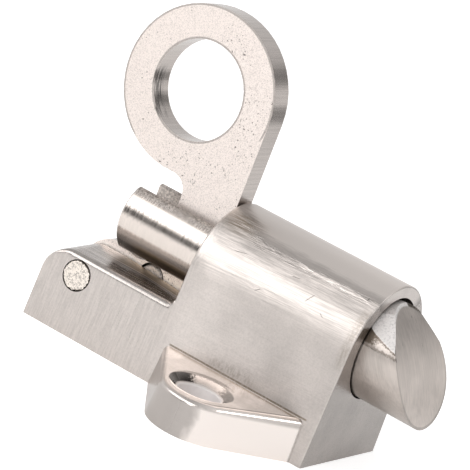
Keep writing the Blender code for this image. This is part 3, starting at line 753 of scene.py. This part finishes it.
@dataclass(frozen=True)
class BlastedNickel:
    """Blasted plate with small pits on its flat faces, and edges brushed across."""

    colour: tuple = (0.79, 0.715, 0.672)
    edge_colour: tuple = (0.52, 0.472, 0.442)
    roughness: float = 0.50
    edge_roughness: float = 0.23
    half_plate: float = 2.05
    ring_centre: tuple = (-25.25, 38.5)
    ring_radius: float = 12.3
    ring_hole: float = 7.3
    rim_width: float = 0.28
    leg_slope: float = 0.396
    leg_height: float = 41.2
    # Where the painted light on the foot fades out, in millimetres up.
    foot_top: float = 13.5

    def material(self) -> bpy.types.Material:
        """Build the finish.

        Returns:
            The material.
        """
        material, graph, shader = new_material("blasted_nickel")
        place = graph.place()
        x, y, z = graph.split(place)
        on_face = graph.step(graph.magnitude(y), self.half_plate - 0.16, self.half_plate - 0.05)
        lines = graph.noise(place, Grain.ACROSS.value, detail=2)
        sand = graph.noise(place, 7.0, detail=2, roughness=0.8)
        pits = graph.noise(place, 3.2, detail=1)
        clusters = graph.noise(place, 0.26, detail=2)
        pitted = graph.product(graph.step(pits, 0.325, 0.275), graph.step(clusters, 0.45, 0.60))
        radius = self.ring_distance(graph, x, z)
        over_leg = graph.total(z, graph.product(x, -self.leg_slope), -self.leg_height)
        outline = graph.product(
            graph.within(radius, self.ring_radius - self.rim_width, self.ring_radius, 0.08),
            graph.step(over_leg, -0.3, 0.7))
        rims = graph.highest(
            graph.within(radius, self.ring_hole, self.ring_hole + self.rim_width, 0.08), outline)
        # Darker band on the faces along the ring's outer edge and round its hole.
        ring_edge_darkening = graph.product(rims, on_face)
        stains = self.hole_stains(graph, x, y, z)
        graph.feed(shader.inputs["Roughness"], graph.blend(on_face, self.edge_roughness, self.roughness))
        tone = graph.blend(
            on_face, graph.step(lines, 0.2, 0.8, 0.88, 1.06), graph.step(sand, 0.32, 0.56, 0.76, 1.06))
        # Painted light: the plate is coloured lighter below 12 mm, on the foot that the cheeks shade.
        tone = graph.product(
            tone, graph.blend(graph.product(pitted, on_face), 1.0, 0.34), graph.blend(ring_edge_darkening, 1.0, 0.58),
            graph.blend(stains, 1.0, 0.28), graph.step(z, self.foot_top, self.foot_top - 1.5, 1.0, 1.25))
        colour = graph.tint(on_face, self.edge_colour, self.colour)
        graph.feed(shader.inputs["Base Color"], graph.shade(colour, tone))
        height = graph.blend(
            on_face, graph.product(lines, 0.006),
            graph.total(graph.product(sand, 0.03), graph.product(pitted, -0.05)))
        graph.feed(shader.inputs["Normal"], graph.relief(height))
        return material

    def ring_distance(self, graph: Graph, x: Socket, z: Socket) -> Socket:
        """Give the distance from the ring's centre in the plate's plane, in millimetres."""
        dx = graph.less(x, self.ring_centre[0])
        return graph.length(dx, graph.less(z, self.ring_centre[1]))

    def hole_stains(self, graph: Graph, x: Socket, y: Socket, z: Socket) -> Socket:
        """Streak the rear wall of the ring's hole, where a cord or a finger has rubbed it.

        Args:
            graph: the material's graph.
            x: the place along the bolt.
            y: the place across the plate.
            z: the height.

        Returns:
            The share of stain.
        """
        dx = graph.less(x, self.ring_centre[0])
        dz = graph.less(z, self.ring_centre[1])
        inside = graph.step(self.ring_distance(graph, x, z), self.ring_hole + 0.3, self.ring_hole + 0.1)
        patch = graph.product(graph.step(dx, -3.0, -5.0), graph.within(dz, -6.0, 0.3, 2.0))
        streaks = graph.noise(graph.join(x, y, z), (0.35, 5.5, 0.35), detail=2)
        return graph.product(inside, patch, graph.step(streaks, 0.56, 0.44), graph.step(y, 0.9, -0.3))


@dataclass(frozen=True)
class PeenedSteel:
    """Dull, speckled metal of a pin's end."""

    name: str
    colour: tuple
    roughness: float = 0.45
    darkest: float = 0.55

    def material(self) -> bpy.types.Material:
        """Build the finish.

        Returns:
            The material.
        """
        material, graph, shader = new_material(self.name)
        place = graph.place()
        speckle = graph.noise(place, 4.0, detail=4, roughness=0.85)
        rough = graph.sway(speckle, self.roughness - 0.1, self.roughness + 0.1)
        graph.feed(shader.inputs["Roughness"], rough)
        graph.feed(
            shader.inputs["Base Color"],
            graph.shade(self.colour, graph.step(speckle, 0.38, 0.53, self.darkest, 1.05)))
        graph.feed(shader.inputs["Normal"], graph.relief(graph.product(speckle, 0.06)))
        return material


@dataclass(frozen=True)
class SpringWire:
    """Bright drawn wire."""

    colour: tuple = (0.52, 0.50, 0.48)
    roughness: float = 0.25

    def material(self) -> bpy.types.Material:
        """Build the finish.

        Returns:
            The material.
        """
        material, graph, shader = new_material("spring_wire")
        drawn = graph.noise(graph.place(), 2.5, detail=2)
        rough = graph.sway(drawn, self.roughness - 0.06, self.roughness + 0.06)
        graph.feed(shader.inputs["Roughness"], rough)
        graph.feed(
            shader.inputs["Base Color"], graph.shade(self.colour, graph.step(drawn, 0.2, 0.8, 0.9, 1.05)))
        return material


def put_up(name: str, data: bpy.types.ID) -> bpy.types.Object:
    """Make an object and link it into the scene.

    Args:
        name: its name.
        data: the mesh, lamp or camera that it shows.

    Returns:
        The object.
    """
    item = bpy.data.objects.new(name, data)
    bpy.context.scene.collection.objects.link(item)
    return item


def dressed_mesh(bm: bmesh.types.BMesh, name: str, material: bpy.types.Material) -> bpy.types.Mesh:
    """Turn a bmesh into a mesh with a material, and free it.

    Args:
        bm: the bmesh.
        name: the mesh's name.
        material: the finish.

    Returns:
        The mesh.
    """
    mesh = bpy.data.meshes.new(name)
    bm.to_mesh(mesh)
    bm.free()
    mesh.materials.append(material)
    return mesh


def glowing_white(name: str, grey: float) -> tuple[bpy.types.Material, Graph, bpy.types.Node]:
    """Start a matt material that also glows white.

    Args:
        name: the material's name.
        grey: how light it is by itself.

    Returns:
        The material, its graph and its Principled shader.
    """
    material, graph, shader = new_material(name, 0.0)
    shader.inputs["Base Color"].default_value = (grey, grey, grey, 1)
    shader.inputs["Specular IOR Level"].default_value = 0.0
    shader.inputs["Emission Color"].default_value = (1, 1, 1, 1)
    return material, graph, shader


def finish_piece(
        bm: bmesh.types.BMesh, name: str, body: str, material: bpy.types.Material,
        crease: float = 35.0) -> bpy.types.Object:
    """Close a bmesh into a smooth-shaded piece that rides on a body.

    Args:
        bm: the mesh, already in place.
        name: the piece's name.
        body: the body that it rides on.
        material: the finish.
        crease: the angle past which an edge stays sharp, in degrees.

    Returns:
        The piece.
    """
    mesh = dressed_mesh(bm, name, material)
    mesh.shade_smooth()
    mesh.set_sharp_from_angle(angle=radians(crease))
    piece = put_up(name, mesh)
    weighted = piece.modifiers.new("even_shading", "WEIGHTED_NORMAL")
    weighted.keep_sharp = True
    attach(piece, body)
    log.info("%s: %d faces, rides on %s", name, len(mesh.polygons), body)
    return piece


def welded_copy(node: str) -> bmesh.types.BMesh:
    """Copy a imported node's mesh, with its loose triangles merged into plain faces.

    Args:
        node: the node's name.

    Returns:
        The merged mesh.
    """
    bm = bmesh.new()
    bm.from_mesh(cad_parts[node].data)
    bmesh.ops.remove_doubles(bm, verts=bm.verts, dist=WELD_DISTANCE)
    bmesh.ops.dissolve_limit(bm, angle_limit=radians(FLAT_ANGLE), verts=bm.verts, edges=bm.edges)
    return bm


def soften(bm: bmesh.types.BMesh, width: float, least_angle: float, segments: int = 2) -> None:
    """Round every edge that is sharper than an angle.

    Args:
        bm: the mesh.
        width: the width of the rounding, in millimetres.
        least_angle: the angle between two faces from which their edge is rounded, in degrees.
        segments: how many strips the rounding has.
    """
    sharp = [
        edge for edge in bm.edges if edge.is_manifold and edge.calc_face_angle(0.0) > radians(least_angle)]
    bmesh.ops.bevel(
        bm, geom=sharp, offset=width * MM, segments=segments, profile=0.5, affect="EDGES",
        clamp_overlap=True, material=-1)


@dataclass
class Housing:
    """The casting, with its edges broken as tumbling and polishing leave them."""

    edge_break: float = 0.12
    finish: CastNickel = CastNickel()

    def build(self) -> bpy.types.Object:
        """Build and dress the casting.

        Returns:
            The piece.
        """
        bm = welded_copy("housing")
        soften(bm, self.edge_break, 34.0)
        piece = finish_piece(bm, "housing_casting", "housing", self.finish.material())
        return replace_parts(piece, "housing")


@dataclass
class Bolt:
    """The bolt: bevelled nose and forked stem."""

    edge_break: float = 0.06
    finish: BoltSteel = BoltSteel()

    def build(self) -> bpy.types.Object:
        """Build and dress the bolt.

        Returns:
            The piece.
        """
        bm = welded_copy("bolt")
        soften(bm, self.edge_break, 30.0)
        piece = finish_piece(bm, "bolt_bar", "bolt", self.finish.material(), crease=9.0)
        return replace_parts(piece, "bolt")


@dataclass
class Lever:
    """The flat plate with its pull ring."""

    edge_break: float = 0.13
    finish: BlastedNickel = BlastedNickel()

    def build(self) -> bpy.types.Object:
        """Build and dress the lever.

        Returns:
            The piece.
        """
        bm = welded_copy("pull_ring_lever")
        soften(bm, self.edge_break, 50.0)
        piece = finish_piece(bm, "lever_plate", "lever", self.finish.material())
        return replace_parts(piece, "pull_ring_lever")


@dataclass
class PivotPin:
    """The pivot pin, whose ends are peened out until they nearly fill their holes."""

    x: float = -28.3
    height: float = 8.5
    radius: float = 2.0
    head_radius: float = 2.08
    head_length: float = 0.45
    end: float = 10.8727
    raggedness: float = 0.12
    finish: PeenedSteel = PeenedSteel("peened_steel", (0.86, 0.79, 0.72), darkest=0.40)

    def build(self) -> bpy.types.Object:
        """Build and dress the pin.

        Returns:
            The piece.
        """
        chance = random.Random(7)
        bm = bmesh.new()
        bmesh.ops.create_cone(
            bm, segments=64, radius1=self.radius, radius2=self.radius, cap_ends=True,
            depth=2 * (self.end - self.head_length))
        for side in (-1, 1):
            cap = [face for face in bm.faces if face.normal.z * side > 0.9]
            for radius, climb in (
                    (self.head_radius, 0.08), (self.head_radius, 0.30), (self.head_radius - 0.12, 0.07)):
                grown = bmesh.ops.extrude_face_region(bm, geom=cap)["geom"]
                bmesh.ops.delete(bm, geom=cap, context="FACES_ONLY")
                cap = [item for item in grown if isinstance(item, bmesh.types.BMFace)]
                for vert in cap[0].verts:
                    flat = Vector((vert.co.x, vert.co.y, 0)).normalized()
                    ragged = chance.uniform(-self.raggedness, self.raggedness)
                    vert.co = flat * (radius + ragged) + Vector((0, 0, vert.co.z + side * climb))
        turn = Matrix.Translation((self.x, 0, self.height)) @ Matrix.Rotation(pi / 2, 4, "X")
        bmesh.ops.transform(bm, verts=bm.verts, matrix=Matrix.Scale(MM, 4) @ turn)
        bmesh.ops.recalc_face_normals(bm, faces=bm.faces)
        piece = finish_piece(bm, "pivot_pin_steel", "housing", self.finish.material())
        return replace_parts(piece, "pivot_pin")


@dataclass
class InnerPins:
    """The lever's flush rivet and the drive pin."""

    rivet: PeenedSteel = PeenedSteel("rivet_steel", (0.66, 0.60, 0.56), darkest=0.35)
    drive: PeenedSteel = PeenedSteel("drive_pin_steel", (0.60, 0.57, 0.54), roughness=0.3, darkest=0.8)

    def build(self) -> None:
        """Build and dress both pins."""
        for node, body, finish in (("lever_rivet", "lever", self.rivet), ("drive_pin", "bolt", self.drive)):
            piece = finish_piece(welded_copy(node), node + "_steel", body, finish.material())
            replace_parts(piece, node)


@dataclass
class Spring:
    """The return spring, copied from the model."""

    anchor_x: float = -9.8
    height: float = 17.3
    length: float = 17.8
    travel: float = 9.0
    finish: SpringWire = SpringWire()

    def build(self) -> bpy.types.Object:
        """Build and dress the spring.

        Returns:
            The piece.
        """
        piece = finish_piece(
            welded_copy("return_spring"), "spring_coil", "housing", self.finish.material())
        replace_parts(piece, "return_spring")
        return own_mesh(piece)


def direction(bearing: float, rise: float) -> Vector:
    """Give the unit vector to a bearing, from +Y towards +X, and a rise, both in degrees."""
    flat = cos(radians(rise))
    return Vector((sin(radians(bearing)) * flat, cos(radians(bearing)) * flat, sin(radians(rise))))


@dataclass(frozen=True)
class Panel:
    """A soft lamp or a card: where it stands as seen from the latch, and how large and bright it is."""

    name: str
    bearing: float
    rise: float
    distance: float
    width: float
    height: float
    radiance: float

    def lamp(self, aim: Vector) -> bpy.types.Object:
        """Put it up as an area lamp.

        Args:
            aim: what it points at.

        Returns:
            The lamp's object.
        """
        lamp = bpy.data.lights.new(self.name, "AREA")
        lamp.shape = "RECTANGLE"
        lamp.size = self.width
        lamp.size_y = self.height
        lamp.energy = self.radiance * pi * self.width * self.height
        stand = put_up(self.name, lamp)
        away = direction(self.bearing, self.rise)
        stand.location = aim + away * self.distance
        stand.rotation_euler = away.to_track_quat("Z", "Y").to_euler()
        stand.visible_camera = False
        return stand

    def card(self, aim: Vector) -> bpy.types.Object:
        """Stand it up as a card that only mirrors see.

        Args:
            aim: what it faces.

        Returns:
            The card.
        """
        bm = bmesh.new()
        bmesh.ops.create_grid(bm, x_segments=1, y_segments=1, size=0.5)
        bmesh.ops.scale(bm, verts=bm.verts, vec=(self.width, self.height, 1))
        away = direction(self.bearing, self.rise)
        turn = away.to_track_quat("Z", "Y").to_matrix().to_4x4()
        bmesh.ops.transform(bm, verts=bm.verts, matrix=Matrix.Translation(aim + away * self.distance) @ turn)
        material, _, shader = glowing_white(self.name, 0.0)
        shader.inputs["Emission Strength"].default_value = self.radiance
        card = put_up(self.name, dressed_mesh(bm, self.name, material))
        card.visible_camera = False
        card.visible_diffuse = False
        card.visible_shadow = False
        return card


@dataclass
class Studio:
    """White table, white surround, soft boxes and the dark cards that shape reflections in metal."""

    aim: Vector = Vector((-0.006, 0.0, 0.022))
    ring: Vector = Vector((-0.020, 0.0, 0.040))
    table_half: float = 3.0
    table_grey: float = 0.9
    table_glow: tuple = (0.25, 0.5)
    surround_light: float = 0.62
    lamps: tuple = (
        Panel("main_box", -153.0, 34.0, 0.60, 0.95, 0.36, 2.1),
        Panel("low_box", 176.0, 9.0, 0.60, 0.16, 0.12, 4.0),
        Panel("right_box", 82.0, 36.0, 0.60, 0.26, 0.22, 2.2))
    cards: tuple = (Panel("front_card", -153.0, 7.5, 0.50, 0.55, 0.12, 0.16),)
    ring_cards: tuple = (
        Panel("ring_card_low", 27.0, -5.5, 0.22, 0.12, 0.045, 0.34),
        Panel("ring_card_high", 22.0, 19.0, 0.30, 0.22, 0.050, 0.20))

    def seen(self, graph: Graph) -> Socket:
        """Give 1 for rays that see the background: straight from the camera, mirrored or through glass."""
        path = graph.add("LightPath").outputs
        return graph.highest(path["Is Camera Ray"], path["Is Glossy Ray"], path["Is Transmission Ray"])

    def table(self) -> bpy.types.Object:
        """Lay the table, which stays white where nothing shades it.

        Returns:
            The table.
        """
        bm = bmesh.new()
        bmesh.ops.create_grid(bm, x_segments=1, y_segments=1, size=self.table_half)
        material, graph, shader = glowing_white("table_white", self.table_grey)
        shader.inputs["Roughness"].default_value = 1.0
        camera = graph.add("LightPath").outputs["Is Camera Ray"]
        glow = graph.product(self.seen(graph), graph.blend(camera, *self.table_glow))
        graph.feed(shader.inputs["Emission Strength"], glow)
        table = put_up("table", dressed_mesh(bm, "table", material))
        return table

    def surround(self) -> None:
        """Make the surround: white where it is seen, and soft grey as a light."""
        world = bpy.data.worlds.new("surround")
        bpy.context.scene.world = world
        world.use_nodes = True
        graph = Graph(world.node_tree)
        background = world.node_tree.nodes["Background"]
        _, _, rise = graph.split(graph.add("TexCoord").outputs["Generated"])
        mirrored = graph.step(rise, 0.0, 0.9, 1.0, self.surround_light)
        seen = graph.blend(graph.add("LightPath").outputs["Is Camera Ray"], mirrored, 1.0)
        graph.feed(background.inputs["Strength"], graph.blend(self.seen(graph), self.surround_light, seen))
        background.inputs["Color"].default_value = (1, 1, 1, 1)

    def build(self) -> None:
        """Set the studio up."""
        bpy.context.scene.view_settings.view_transform = "Standard"
        self.table()
        self.surround()
        for lamp in self.lamps:
            lamp.lamp(self.aim)
        for card in self.cards:
            card.card(self.aim)
        for card in self.ring_cards:
            card.card(self.ring)


@dataclass
class ProductCamera:
    """A long lens, turned a little about its own axis."""

    aim: Vector = Vector((-11.12, -3.06, 22.58)) * MM
    azimuth: float = 25.774
    elevation: float = 14.063
    roll: float = 21.369
    distance: float = 0.42954
    lens: float = 234.556
    sensor: float = 36.0
    clip: tuple = (0.01, 20.0)

    def build(self) -> bpy.types.Object:
        """Put up the camera.

        Returns:
            The camera's object.
        """
        camera = put_up("camera", bpy.data.cameras.new("camera"))
        camera.data.lens = self.lens
        camera.data.sensor_width = self.sensor
        back = direction(180.0 - self.azimuth, self.elevation)
        camera.location = self.aim + back * self.distance
        turn = back.to_track_quat("Z", "Y").to_matrix() @ Matrix.Rotation(radians(self.roll), 3, "Z")
        camera.rotation_euler = turn.to_euler()
        camera.data.clip_start, camera.data.clip_end = self.clip
        bpy.context.scene.camera = camera
        return camera


def main() -> None:
    """Dress the latch, piece by piece, and set up the studio."""
    logging.basicConfig(level=logging.INFO, format="%(message)s")
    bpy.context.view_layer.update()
    ProductCamera().build()
    Studio().build()
    for part in (Housing(), Bolt(), Lever(), PivotPin(), InnerPins(), Spring()):
        part.build()


if __name__ == "__main__":
    main()
